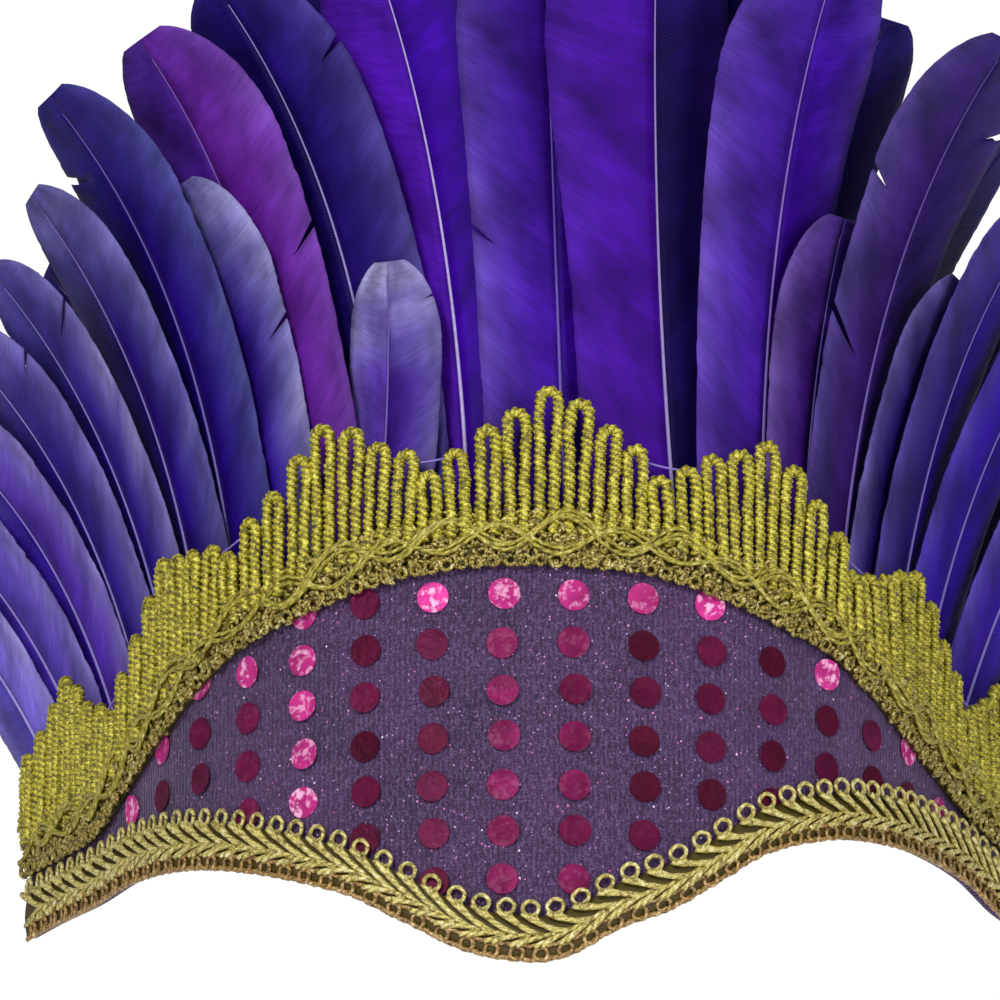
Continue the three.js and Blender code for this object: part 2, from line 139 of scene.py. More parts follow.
camera_data = bpy.data.cameras.new("camera")
camera_data.sensor_width = SENSOR
camera_data.lens = SENSOR * CAMERA_DISTANCE / VIEW_WIDTH
camera_data.clip_end = 100
camera = bpy.data.objects.new("camera", camera_data)
camera.location = (AIM[0] / 1000, (FRONT - CAMERA_DISTANCE) / 1000, AIM[1] / 1000)
camera.rotation_euler = (math.pi / 2, 0, 0)
scene.collection.objects.link(camera)
scene.camera = camera


def area_light(name, place, aim, size, watts):
    """place, aim and size are in metres."""
    data = bpy.data.lights.new(name, "AREA")
    data.shape = "DISK"
    data.size = size
    data.energy = watts
    light = bpy.data.objects.new(name, data)
    light.location = place
    light.rotation_euler = (Vector(aim) - Vector(place)).to_track_quat("-Z", "Y").to_euler()
    scene.collection.objects.link(light)


area_light("key_light", (-0.75, -1.5, 1.1), (0, -0.05, 0.08), 0.6, 19)
area_light("fill_light", (1.0, -1.3, 0.35), (0, -0.05, 0.06), 0.9, 8)
area_light("back_light", (0.5, 1.3, 1.2), (0, 0.0, 0.08), 0.9, 12)

world = bpy.data.worlds.new("studio")
scene.world = world
world.use_nodes = True
background = world.node_tree.nodes["Background"].inputs
background["Color"].default_value = (0.96, 0.97, 1, 1)
background["Strength"].default_value = 0.36


# ---- materials
def srgb(code):
    """Linear red, green, blue of a hex colour."""
    value = np.array([int(code[i:i + 2], 16) / 255 for i in (1, 3, 5)])
    return np.where(value <= 0.04045, value / 12.92, ((value + 0.055) / 1.055) ** 2.4)


class Nodes:
    """Short way to write a material's nodes."""

    def __init__(self, name, **shader):
        self.material = bpy.data.materials.new(name)
        self.material.use_nodes = True
        self.tree = self.material.node_tree
        self.shader = self.tree.nodes["Principled BSDF"]
        for socket, value in shader.items():
            self.shader.inputs[socket.replace("_", " ")].default_value = value

    def node(self, kind, inputs=None, **settings):
        made = self.tree.nodes.new("ShaderNode" + kind)
        for key, value in settings.items():
            setattr(made, key, value)
        for key, value in (inputs or {}).items():
            self.feed(made.inputs[key], value)
        return made

    def feed(self, socket, value):
        if isinstance(value, bpy.types.NodeSocket):
            self.tree.links.new(value, socket)
        elif isinstance(value, str):
            socket.default_value = (*srgb(value), 1)
        else:
            socket.default_value = value

    def math(self, operation, *values):
        return self.node("Math", dict(enumerate(values)), operation=operation).outputs[0]

    def times(self, first, second):
        return self.math("MULTIPLY", first, second)

    def wave(self, value, length):
        """A sine along value."""
        return self.math("SINE", self.times(value, 2 * math.pi / length))

    def mix(self, share, first, second, blend="MIX"):
        made = self.node("Mix", data_type="RGBA", blend_type=blend)
        self.feed(made.inputs[0], share)
        self.feed(made.inputs[6], first)
        self.feed(made.inputs[7], second)
        return made.outputs[2]

    def between(self, value, low, high, to_low=0.0, to_high=1.0):
        inputs = {"Value": value, "From Min": low, "From Max": high, "To Min": to_low, "To Max": to_high}
        return self.node("MapRange", inputs).outputs[0]

    def attribute(self, name, output="Fac"):
        return self.node("Attribute", attribute_name=name).outputs[output]

    def place(self):
        return self.node("TexCoord").outputs["Object"]

    def vector(self, x, y, z):
        return self.node("CombineXYZ", {0: x, 1: y, 2: z}).outputs[0]

    def noise(self, vector, scale, detail=3.0, rough=0.55):
        inputs = {"Vector": vector, "Scale": scale, "Detail": detail, "Roughness": rough}
        return self.node("TexNoise", inputs).outputs["Fac"]

    def colour(self, value):
        self.feed(self.shader.inputs["Base Color"], value)

    def rough(self, value):
        self.feed(self.shader.inputs["Roughness"], value)

    def rough_by(self, noise, low, high):
        self.rough(self.between(noise, 0.3, 0.7, low, high))

    def bump(self, height, strength, distance_m):
        inputs = {"Height": height, "Strength": strength, "Distance": distance_m}
        made = self.node("Bump", inputs)
        old = self.shader.inputs["Normal"]
        if old.is_linked:
            self.tree.links.new(old.links[0].from_socket, made.inputs["Normal"])
        self.tree.links.new(made.outputs[0], old)


def vane_material():
    n = Nodes("feather_vane", Specular_IOR_Level=0.1, Sheen_Weight=0.03, Sheen_Roughness=0.35)
    n.shader.inputs["Sheen Tint"].default_value = (0.55, 0.3, 1, 1)
    n.shader.inputs["Specular Tint"].default_value = (0.75, 0.6, 1, 1)
    tint = n.attribute("tint", "Color")
    barb, across = n.attribute("barb"), n.attribute("across")
    streak = n.noise(n.vector(barb, n.times(across, 2.2), 0.0), 0.9, 4.0, 0.62)
    fine = n.noise(n.vector(barb, n.times(across, 1.2), 7.0), 4.2, 2.0, 0.5)
    broad = n.noise(n.vector(n.times(barb, 0.075), n.times(across, 1.3), 3.0), 1.0, 2.0)
    lit = n.math("ADD", n.between(streak, 0.3, 0.72, 0.78, 1.16), n.between(fine, 0.3, 0.7, -0.06, 0.06))
    lit = n.times(lit, n.between(broad, 0.32, 0.68, 0.55, 1.38))
    shaded = n.mix(1.0, tint, n.node("CombineColor", {0: lit, 1: lit, 2: lit}).outputs[0], "MULTIPLY")
    rich = {"Saturation": 1.04, "Value": 0.86, "Color": shaded}
    n.colour(n.node("HueSaturation", rich).outputs[0])
    n.rough_by(streak, 0.4, 0.56)
    n.bump(n.wave(barb, 0.62), 0.45, 0.00004)
    n.bump(streak, 0.5, 0.00016)
    return n.material


def rachis_material():
    n = Nodes("feather_shaft", Specular_IOR_Level=0.5)
    tint = n.attribute("tint", "Color")
    grain = n.noise(n.place(), 900.0, 2.0)
    n.colour(n.mix(n.between(grain, 0.35, 0.7, 0.0, 0.3), tint, "#6a55b0"))
    n.rough_by(grain, 0.32, 0.5)
    n.bump(grain, 0.3, 0.0001)
    return n.material


def cord_material(name, shade_colour, middle, bright, metal=0.35, glint=0.5):
    """Metallic twisted yarn, with painted shade in its grooves and in random dark patches, and painted glints
    on its crests and in random bright specks.
    """
    n = Nodes(name, Metallic=metal, Specular_IOR_Level=0.6, Coat_Weight=0.15, Coat_Roughness=0.25)
    crest = n.attribute("crest")
    wide = n.noise(n.place(), 260.0, 2.0)
    fine = n.noise(n.place(), 2600.0, 2.0, 0.6)
    # painted shade in the grooves between the twisted strands, then painted glints on the crests
    base = n.mix(n.between(crest, 0.0, 0.75), shade_colour, middle)
    base = n.mix(n.times(n.between(crest, 0.55, 1.0), n.between(fine, 0.42, 0.62)), base, bright)
    patch = n.noise(n.place(), 950.0, 2.0, 0.6)
    # in wide patches the painted shade and glints give way to the yarn's own middle colour
    base = n.mix(n.between(wide, 0.35, 0.7, 0.0, glint), base, middle)
    # random dark patches of painted shade, and random specks of painted glint
    base = n.mix(n.between(patch, 0.47, 0.36, 0.0, 0.75), base, shade_colour)
    n.colour(n.mix(n.between(patch, 0.58, 0.68, 0.0, 0.7), base, bright))
    n.rough_by(fine, 0.26, 0.55)
    n.bump(fine, 0.55, 0.0003)
    return n.material


def fabric_material():
    n = Nodes("sequin_fabric", Specular_IOR_Level=0.3, Sheen_Weight=0.15)
    s, h = n.attribute("s"), n.attribute("h")
    rib = n.wave(s, 1.05)
    stitch = n.wave(h, 0.8)
    knit = n.times(rib, n.between(stitch, -1.0, 1.0, 0.55, 1.0))
    flat = n.vector(s, h, 0.0)
    blotch = n.noise(flat, 0.045, 2.0)
    yarn = n.noise(n.vector(s, n.times(h, 0.25), 3.0), 2.4, 3.0)
    base = n.mix(n.between(blotch, 0.38, 0.62), "#361c40", "#4a2656")
    base = n.mix(n.between(s, -10.0, 70.0, 0.0, 0.55), base, "#4e2260")
    base = n.mix(n.between(yarn, 0.42, 0.66, 0.0, 0.65), base, "#64507e")
    base = n.mix(n.between(knit, -0.2, -1.0, 0.0, 0.6), base, "#1a121f")
    grain = n.noise(n.vector(s, h, 9.0), 2.6, 2.0, 0.7)
    base = n.mix(n.between(grain, 0.56, 0.7, 0.0, 0.75), base, "#866c9c")
    base = n.mix(n.between(grain, 0.46, 0.34, 0.0, 0.7), base, "#1c1026")
    # glitter flecks: real flecks in the yarn, painted near white, lavender and pink as glints
    specks = []
    for scale, reach, seed in ((0.9, 0.17, 0.0), (0.42, 0.11, 40.0)):
        spots = {"Vector": n.vector(s, h, seed), "Scale": scale}
        cells = n.node("TexVoronoi", spots, voronoi_dimensions="3D")
        near = n.between(cells.outputs["Distance"], reach * 0.6, reach, 1.0, 0.0)
        chosen = n.between(n.node("SeparateColor", {0: cells.outputs["Color"]}).outputs[0], 0.5, 0.56)
        specks.append((n.times(near, chosen), cells.outputs["Color"]))
    for (speck, seed), bright in zip(specks, ("#b9a6e6", "#f4ecff")):
        hue = n.mix(n.node("SeparateColor", {0: seed}).outputs[1], bright, "#e86fc0")
        base = n.mix(speck, base, hue)
    n.colour(base)
    shine = n.math("MAXIMUM", specks[0][0], specks[1][0])
    n.rough(n.between(shine, 0.0, 1.0, 0.72, 0.2))
    n.bump(knit, 0.6, 0.00018)
    n.bump(yarn, 0.3, 0.0002)
    return n.material


def felt_material():
    n = Nodes("panel_backing", Specular_IOR_Level=0.2, Sheen_Weight=0.2)
    wide = n.noise(n.place(), 120.0, 3.0)
    fibre = n.noise(n.place(), 1800.0, 4.0, 0.7)
    n.colour(n.mix(fibre, n.mix(wide, "#1c1830", "#2a2344"), "#3d3560"))
    n.rough_by(fibre, 0.8, 0.95)
    n.bump(fibre, 0.6, 0.0003)
    return n.material


def foil_material():
    n = Nodes("sequin_foil", Metallic=0.12, Specular_IOR_Level=0.06)
    tint = n.attribute("tint", "Color")
    crumple = n.noise(n.place(), 620.0, 3.0, 0.6)
    wide = n.noise(n.place(), 190.0, 1.0)
    deep = n.mix(n.between(wide, 0.35, 0.68), tint, n.mix(0.4, tint, "#240a1c"))
    shown = n.times(n.attribute("glint"), n.attribute("glint"))
    # painted glints on the crumples of the sequins that catch the light
    glint = n.times(n.between(crumple, 0.5, 0.62), shown)
    # paler patches along the crumples: painted reflection
    base = n.mix(n.between(crumple, 0.56, 0.74, 0.0, 0.2), deep, n.mix(0.75, "#c83c7c", tint))
    n.colour(n.mix(glint, base, "#ffc0e4"))
    n.rough_by(crumple, 0.3, 0.5)
    n.bump(crumple, 0.5, 0.0005)
    return n.material


def elastic_material():
    n = Nodes("elastic_web", Specular_IOR_Level=0.25, Sheen_Weight=0.2)
    s, h = n.attribute("s"), n.attribute("h")
    wale = n.wave(h, 1.25)
    course = n.wave(s, 0.9)
    weave = n.times(wale, n.between(course, -1.0, 1.0, 0.5, 1.0))
    fuzz = n.noise(n.place(), 2200.0, 3.0)
    base = n.mix(n.between(weave, -1.0, 0.6), "#07060a", "#1d1a22")
    n.colour(n.mix(n.between(fuzz, 0.5, 0.75, 0.0, 0.5), base, "#332e3a"))
    n.rough_by(fuzz, 0.7, 0.9)
    n.bump(weave, 0.7, 0.00025)
    n.bump(fuzz, 0.3, 0.0001)
    return n.material


def thread_material(name, colour, other):
    n = Nodes(name, Specular_IOR_Level=0.35)
    grain = n.noise(n.place(), 1500.0, 2.0)
    n.colour(n.mix(grain, colour, other))
    n.rough_by(grain, 0.45, 0.7)
    n.bump(grain, 0.4, 0.0001)
    return n.material


VANE, RACHIS = vane_material(), rachis_material()
# each gold is given as its painted shade colour, its own colour and its painted glint colour
LOOP_GOLD = cord_material("gold_loop_cord", "#2c2604", "#ccbe24", "#fbf26c", 0.25, 0.2)
BEAD_GOLD = cord_material("gold_knots", "#33260a", "#ae982c", "#f8eeb0", 0.25, 0.15)
WAVE_GOLD = cord_material("gold_wave_strands", "#5a500c", "#b6a82e", "#efe68c", 0.2, 0.4)
GIMP_GOLD = cord_material("gimp_strands", "#64521a", "#e2d270", "#fffccc", 0.12, 0.4)
GIMP_TAN = cord_material("gimp_tan", "#4c3414", "#b8904c", "#f0d8a0", 0.15, 0.4)
# the lace ground's dark colour is painted shade in the gaps of the lace
LACE_GROUND = thread_material("lace_ground", "#2a2206", "#5a4a14")
GIMP_GROUND = thread_material("gimp_ground", "#3c320c", "#5c4c18")
FABRIC, FELT, FOIL, ELASTIC = fabric_material(), felt_material(), foil_material(), elastic_material()
LILAC = thread_material("lilac_thread", "#a58fe0", "#7a62c4")
STITCH = thread_material("stitch_thread", "#3a3060", "#241d40")


# ---- meshes
def add_mesh(name, points, faces, materials, nodes, slot, faces_use=None, attributes=None):
    """A piece from points in mm.  faces_use: each face's material.
    attributes: name -> one value or colour a point."""
    mesh = bpy.data.meshes.new(name)
    mesh.from_pydata((np.asarray(points) / 1000).tolist(), [], faces)
    for material in materials:
        mesh.materials.append(material)
    if faces_use is not None:
        mesh.polygons.foreach_set("material_index", np.asarray(faces_use, np.int32))
    mesh.polygons.foreach_set("use_smooth", np.full(len(mesh.polygons), True))
    for key, values in (attributes or {}).items():
        values = np.asarray(values, np.float32)
        if values.ndim == 1:
            mesh.attributes.new(key, "FLOAT", "POINT").data.foreach_set("value", values)
        else:
            colours = np.concatenate([values, np.ones((len(values), 1), np.float32)], 1)
            mesh.attributes.new(key, "FLOAT_COLOR", "POINT").data.foreach_set("color", colours.ravel())
    mesh.update()
    piece = bpy.data.objects.new(name, mesh)
    scene.collection.objects.link(piece)
    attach(piece, "root")
    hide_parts(*nodes)


def grid_faces(rows, columns, start=0, closed=False):
    """Quads of a grid of points stored row by row; closed joins the last column to the first."""
    i = np.arange(rows - 1)[:, None]
    j = np.arange(columns if closed else columns - 1)[None, :]
    k = (j + 1) % columns
    quads = np.stack(np.broadcast_arrays(i * columns + j, i * columns + k, (i + 1) * columns + k,
                                         (i + 1) * columns + j), -1)
    return quads.reshape(-1, 4) + start


def thicken(points, backs, faces):
    """Closes a sheet: its faces, the same faces behind it, and a rim."""
    faces = np.asarray(faces)
    count = len(points)
    edges = np.concatenate([faces[:, [k, (k + 1) % 4]] for k in range(4)])
    ordered = np.sort(edges, 1)
    _, first, counts = np.unique(ordered, axis=0, return_index=True, return_counts=True)
    rim = edges[first[counts == 1]]
    sides = np.stack([rim[:, 1], rim[:, 0], rim[:, 0] + count, rim[:, 1] + count], 1)
    return np.concatenate([points, backs]), np.concatenate([faces, faces[:, ::-1] + count, sides])


def run_along(path):
    """How far along a line each of its points is."""
    return np.concatenate([[0], np.cumsum(np.linalg.norm(np.diff(path, axis=0), axis=1))])


CORD_LOBES = 2               # two strands twisted together


def cord_mesh(path, refs, radius, sides=8, lobe=0.0, pitch=2.4, start=0):
    """A round or twisted cord along a path.  refs: a direction across it at each point.
    Gives points, faces and how far out each point stands, 0 to 1."""
    count = len(path)
    tangent = np.gradient(path, axis=0)
    tangent /= np.linalg.norm(tangent, axis=1, keepdims=True) + 1e-9
    across = np.cross(tangent, refs)
    across /= np.linalg.norm(across, axis=1, keepdims=True) + 1e-9
    up = np.cross(across, tangent)
    phi = np.arange(sides) / sides * 2 * math.pi
    turn = phi - run_along(path)[:, None] * 2 * math.pi / (pitch * CORD_LOBES)
    wave = np.cos(CORD_LOBES * turn)
    reach = np.broadcast_to(radius, count)[:, None] * (1 + lobe * wave)
    points = (path[:, None] + across[:, None] * (reach * np.cos(phi))[..., None]
              + up[:, None] * (reach * np.sin(phi))[..., None])
    # crest is the mask for the cords' painted groove shade and crest glints; on a round cord it is highest on
    # the side that faces out from the band
    crest = (wave + 1) / 2 if lobe else np.broadcast_to((np.sin(phi) + 1.4) / 2.4, reach.shape)
    faces = grid_faces(count, sides, start, True)[:, ::-1].tolist()
    faces.append([start + k for k in range(sides)])
    last = start + (count - 1) * sides
    faces.append([last + sides - 1 - k for k in range(sides)])
    return points.reshape(-1, 3), faces, crest.reshape(-1)


def resample(path, step):
    """The same line with even steps."""
    run = run_along(path)
    count = max(4, int(run[-1] / step) + 1)
    at = np.linspace(0, run[-1], count)
    return np.stack([np.interp(at, run, path[:, k]) for k in range(path.shape[1])], 1)


def arch(share):
    """Rises from 0 to 1 and falls back, over a share of 0 to 1."""
    return np.sin(math.pi * share)


class Bundle:
    """Gathers many cords into one piece."""

    def __init__(self):
        self.points, self.faces, self.crest, self.use, self.count = [], [], [], [], 0

    def cord(self, line, radius, step=0.5, material=0, **twist):
        """line: (s, h, off) points on the band.  radius: a number, or a function of the
        share along the line."""
        line = resample(line, step)
        refs = band_out(line[:, 0])
        if callable(radius):
            radius = radius(np.linspace(0, 1, len(line)))
        points, faces, crest = cord_mesh(band(*line.T), refs, radius, start=self.count, **twist)
        self.points.append(points)
        self.faces.extend(faces)
        self.crest.append(crest)
        self.use.extend([material] * len(faces))
        self.count += len(points)

    def piece(self, name, materials, nodes, slot):
        add_mesh(name, np.concatenate(self.points), self.faces, materials, nodes, slot, self.use,
                 {"crest": np.concatenate(self.crest)})


# ---- feathers
QUILL_BARE = 8               # bare quill at the root
VANE_FULL = 36               # from the root to where the vanes are full
CAMBER = math.tan(math.radians(3))       # each vane falls back from the shaft
SHINGLE = math.tan(math.radians(8))      # each feather's turn under the next
FLARE_END = 12               # outward at the roots of the end feathers, degrees
FLARE_TIP = (22, 64)         # outward at the tips, at the band's middle and ends
FLARE_OVER = 140             # length in which it grows from root to tip
MIDDLE_FEATHER = -12.8       # feathers each side of this one overlap towards it
FRONT_BEHIND, BACK_BEHIND, BOW = 3.4, 10, 3
ROW_CLOSES_IN = 0.02         # towards the panel again, per mm past the curve
ROOT_BELOW_EDGE = 32         # roots are tucked this far below the panel's top
ROOT_ABOVE_RIM = 7           # and stay this far above its lower edge

SHAFT_STEPS = 240
SHAFT_POINTS, SHAFT_SIDES = 60, 8
SHAFT_END = 0.965            # places along a shaft are shares of its length
SHAFT_ALONG = [0, 0.06, 0.25, 0.6, 1]
SHAFT_RADIUS = [0.45, 0.95, 0.44, 0.25, 0.1]
SHAFT_RAISED = 0.05
END_FEATHERS = 100           # past this s a whole quill would show below the panel
QUILL_CUT = 0.065            # so this share of it is left out

VANE_THICK = 0.28
BARB_ROWS = 96
BARB_POINTS = 9
BARB_AT = np.linspace(0, 1, BARB_POINTS)     # across a vane, from shaft to edge
BARB_REACH = 0.085           # how far up the shaft a barb runs
LAST_ROW = 0.995
TIP_COLOUR_FROM = 0.72
TORN_FEATHER = "front_plume_17"              # its vanes have one more split each


def smoothstep(value, low, high):
    t = np.clip((value - low) / (high - low), 0, 1)
    return t * t * (3 - 2 * t)


def vane_share(t, long):
    """Width of a vane at t, as a share of its full width."""
    opened = smoothstep(t * long, QUILL_BARE, VANE_FULL)
    to_tip = np.clip((t - 0.8) / 0.2, 0, 1)
    return 0.09 + 0.91 * opened * np.sqrt(1 - 0.97 * to_tip ** 2)


def wander(rng, at, step):
    """Smooth noise, -1 to 1, along a line of values."""
    knots = rng.uniform(-1, 1, int(np.max(at) / step) + 3)
    return np.interp(at / step, np.arange(len(knots)), knots)


def band_root(s):
    return float(max(lace_edge(s) + PANEL_UNDER_LACE - ROOT_BELOW_EDGE, lower_edge(s) + ROOT_ABOVE_RIM))


class Shaft:
    """Where a feather's shaft runs, and places beside it."""

    def __init__(self, f, behind):
        s, long = f["s"], f["long"]
        self.side = 1 if s > MIDDLE_FEATHER else -1
        self.long = long
        self.start = QUILL_CUT if abs(s) > END_FEATHERS else 0
        self.along = np.linspace(0, 1, SHAFT_STEPS + 1)
        self.lean = np.radians(f["lean"] + f["bend"] * self.along)
        outward = abs(s) / HALF_LENGTH
        root_flare = FLARE_END * outward ** 2
        tip_flare = FLARE_TIP[0] + (FLARE_TIP[1] - FLARE_TIP[0]) * outward
        opened = (self.along * long / FLARE_OVER) ** 2
        flare = np.radians(root_flare + (tip_flare - root_flare) * opened)
        step = long / SHAFT_STEPS
        off = (-PANEL_WALL - behind - BOW * min(abs(s) / ARC_HALF, 1)
               + ROW_CLOSES_IN * max(0, abs(s) - ARC_HALF) + f["lift"])
        moves = np.stack([step * np.sin(self.lean) * np.cos(flare),
                          step * np.cos(self.lean) * np.cos(flare), step * np.sin(flare)], 1)
        self.line = np.concatenate([[[0, 0, 0]], np.cumsum(moves[:-1], 0)]) + [s, band_root(s), off]

    def at(self, t, x, lift):
        """Points at share t, x to the side and lift out."""
        place = [np.interp(t, self.along, self.line[:, k]) for k in range(3)]
        turn = np.interp(t, self.along, self.lean)
        return band(place[0] + x * np.cos(turn), place[1] - x * np.sin(turn),
                    place[2] + lift - x * self.side * SHINGLE - np.abs(x) * CAMBER)

    def tube(self, start):
        """The shaft's own mesh, and the share along it of each ring."""
        t = np.linspace(self.start, SHAFT_END, SHAFT_POINTS)
        path = self.at(t, np.zeros(SHAFT_POINTS), np.full(SHAFT_POINTS, SHAFT_RAISED))
        thick = np.interp(t, SHAFT_ALONG, SHAFT_RADIUS)
        refs = band_out(np.interp(t, self.along, self.line[:, 0]))
        points, faces, _ = cord_mesh(path, refs, thick, sides=SHAFT_SIDES, start=start)
        return points, faces, np.repeat(t, SHAFT_SIDES)


def splits(rng, count):
    """Where a vane has come apart: the row and depth of each split, how far each row of
    barbs slides along the shaft, and how rows draw together at a split's foot."""
    cuts, shift, close = [], np.zeros(BARB_ROWS), np.zeros((BARB_ROWS, BARB_POINTS))
    for _ in range(count):
        row = int(rng.integers(BARB_ROWS * 0.4, BARB_ROWS * 0.93))
        deep = int(rng.integers(BARB_POINTS // 2 - 1, BARB_POINTS - 2))
        cuts.append((row, deep))
        gap = rng.uniform(0.0006, 0.0022)
        pull = np.clip(1 - np.abs(BARB_AT - BARB_AT[deep]) / 0.35, 0, 1) * 0.46 * (1 / BARB_ROWS)
        close[row] += pull
        close[row + 1] -= pull
        near = np.arange(BARB_ROWS) - row
        shift += np.where((near > 0) & (near < 9), gap * (1 - near / 9), 0)
        shift -= np.where((near <= 0) & (near > -7), gap * (1 + near / 7), 0)
    return cuts, shift, close


def vane_colour(rng, line, t, body, edge, look):
    """The body's colour, paler to the edge and the tip in streaks that follow the barbs, with painted shade
    darkening it next to the shaft.
    """
    streak = wander(rng, line, 0.35)[:, None] * 0.5 + 0.5
    slow = wander(rng, line, 1.6)[:, None] * 0.5 + 0.5
    to_edge = np.clip(BARB_AT ** 2.4 * (0.55 + 0.9 * streak * slow) * edge, 0, 1)
    past = np.clip((t - TIP_COLOUR_FROM) / (1 - TIP_COLOUR_FROM), 0, 1)
    to_tip = np.clip(past ** 1.4 * look["tip"] * (0.5 + 0.6 * streak), 0, 1)
    # a slow random tone, times painted shade that darkens each vane next to its shaft
    tone_and_shaft_shade = (0.84 + 0.32 * slow) * (1 - 0.12 * (1 - BARB_AT) ** 6)
    colour = srgb(body) * tone_and_shaft_shade[..., None]
    for share, other in ((to_edge, look["edge"]), (to_tip, look["tip_colour"])):
        colour = colour * (1 - share[..., None]) + srgb(other) * share[..., None]
    return colour.reshape(-1, 3)


def vane(rng, shaft, hand, width, body, edge, look, torn):
    """One vane as a closed sheet: points, faces and each point's colour, barb and place
    across.  hand: -1 for the left vane, 1 for the right."""
    rows = shaft.start + (LAST_ROW - shaft.start) * np.linspace(0, 1, BARB_ROWS) ** 0.92
    line = rows * 10
    cuts, shift, close = splits(rng, int(rng.integers(0, 3)) // 2 + torn)
    jag = rng.uniform(0, 1, BARB_ROWS)
    fray = 0.012 + (0.03 + 0.1 * max(0, edge - 0.5)) * np.clip(wander(rng, line, 0.9), 0, 1) ** 2
    reach = BARB_REACH * (1 - rows ** 4)
    t = rows[:, None] + reach[:, None] * BARB_AT ** 1.2 + shift[:, None] * BARB_AT ** 2 + close
    t = np.clip(t, 0, 0.999)
    wide = width * vane_share(t, shaft.long) * (1 + 0.03 * wander(rng, line, 2.2))[:, None]
    x = hand * BARB_AT * wide * (1 - (fray * jag)[:, None] * BARB_AT ** 3)
    ripple = (0.22 * wander(rng, line, 0.7)[:, None] * BARB_AT ** 1.5
              + 0.1 * rng.uniform(-1, 1, BARB_ROWS)[:, None] * BARB_AT ** 3)
    front = shaft.at(t, x, ripple + SHAFT_RAISED).reshape(-1, 3)
    back = shaft.at(t, x, ripple - VANE_THICK).reshape(-1, 3)
    quads = grid_faces(BARB_ROWS, BARB_POINTS)
    if hand < 0:
        quads = quads[:, ::-1]
    keep = np.ones(len(quads), bool)
    for row, deep in cuts:
        first = row * (BARB_POINTS - 1)
        keep[first + deep:first + BARB_POINTS - 1] = False
    points, faces = thicken(front, back, quads[keep])
    colour = vane_colour(rng, line, t, body, edge, look)
    barb = np.repeat(rows * shaft.long + 37 * hand, BARB_POINTS) + rng.uniform(0, 50)
    across = np.tile(BARB_AT * hand, BARB_ROWS)
    return points, faces, np.tile(colour, (2, 1)), np.tile(barb, 2), np.tile(across, 2)


def feather(row, number, behind, f, look):
    name = "%s_plume_%02d" % (row, number)
    rng = np.random.default_rng(hash_name(name))
    shaft = Shaft(f, behind)
    made, faces, count = [], [], 0
    for hand, side in ((-1, "left"), (1, "right")):
        points, sheet, *values = vane(rng, shaft, hand, f[side], look[side], look["edge_" + side], look,
                                      name == TORN_FEATHER)
        made.append((points, *values))
        faces.extend((sheet + count).tolist())
        count += len(points)
    points, rings, t = shaft.tube(count)
    pale = srgb(look["shaft"]) * np.interp(t, [0, 0.2, 1], [1.25, 1.0, 0.8])[:, None]
    made.append((points, pale, t * shaft.long, np.zeros(len(points))))
    use = [0] * len(faces) + [1] * len(rings)
    points, tint, barb, across = (np.concatenate(column) for column in zip(*made))
    add_mesh(name, points, faces + rings, [VANE, RACHIS], ["%s_feather_%02d" % (row, number)],
             row + "_feathers", use, {"tint": tint, "barb": barb, "across": across})


def hash_name(name):
    """A whole number from a name, the same each run."""
    value = 7
    for letter in name:
        value = (value * 31 + ord(letter)) % 1000003
    return value


# s: where the root sits; lean: away from upright at the root, and bend: how much more at
# the tip, both in degrees and positive to +X; long: root to tip; left and right: the
# vanes' widths; lift: out from the row
SHAFT_KEYS = ("s", "lean", "bend", "long", "left", "right", "lift")
FRONT_ROW = [
    (-132, -17.6, -22, 90, 11, 11, -0.6),
    (-119, -16, -22, 98, 11, 13, -0.3),
    (-108, -9, -26, 106, 12, 13, 0.6),
    (-98, -8, -18, 118, 12, 14, 0.9),
    (-85, -8.4, -9, 125, 12, 14, 1.4),
    (-74, -7.2, -5.1, 129, 12, 14, 1.5),
    (-65, -3.4, -7.5, 140, 13, 14, 1.3),
    (-56.5, -2.2, -6.5, 112, 12, 15, 0.9),
    (-47, -2.2, -11.5, 140, 14, 16, 0.5),
    (-37.5, 11, -9, 86, 9, 11, 0.9),
    (-29.5, 0.3, -20, 144, 15, 15, -0.7),
    (-12.8, 0.3, -12.5, 148, 15, 17, -1.4),
    (7.9, -2.4, -0.2, 152, 16, 14, 0),
    (33.5, -6.4, 0.4, 154, 18, 14, 0),
    (52, -2.8, -1.5, 155, 16, 14, 0),
    (62.5, -2.4, -0.2, 106, 12, 12, 0.1),
    (71, 1, -3, 152, 14, 15, 0.5),
    (80, 2.8, 0, 108, 11, 12, 0.3),
    (93, 1.5, -2, 131, 14, 14, 0),
    (101, 7.9, 3.1, 120, 14, 13, 0),
    (114, 13, 10, 106, 13, 12, 0),
    (129, 20, 12, 96, 12, 11, -0.6),
]
BACK_ROW = [
    (-130, -20, -19, 90, 11, 13, 0),
    (-112, -14, -20, 100, 12, 14, 0),
    (-94, -11, -16, 110, 13, 14, 0),
    (-78, -10, -12, 124, 13, 15, -0.5),
    (-64, -7, -10, 136, 14, 14, -0.7),
    (-46, -5, -10, 142, 14, 14, -0.8),
    (-26, -3, -9, 146, 15, 15, -0.3),
    (-3, -2, -5, 150, 15, 15, -2.4),
    (17, -3, 0, 152, 15, 15, -0.8),
    (40, -4, 0, 152, 15, 15, -0.6),
    (60, -1, 0, 148, 15, 15, -2.1),
    (80, 2, 2, 140, 14, 14, -3.3),
    (97, 7, 6, 127, 13, 13, 0),
    (113, 12, 12, 114, 13, 12, 0),
    (129, 17, 18, 97, 12, 11, 0),
]
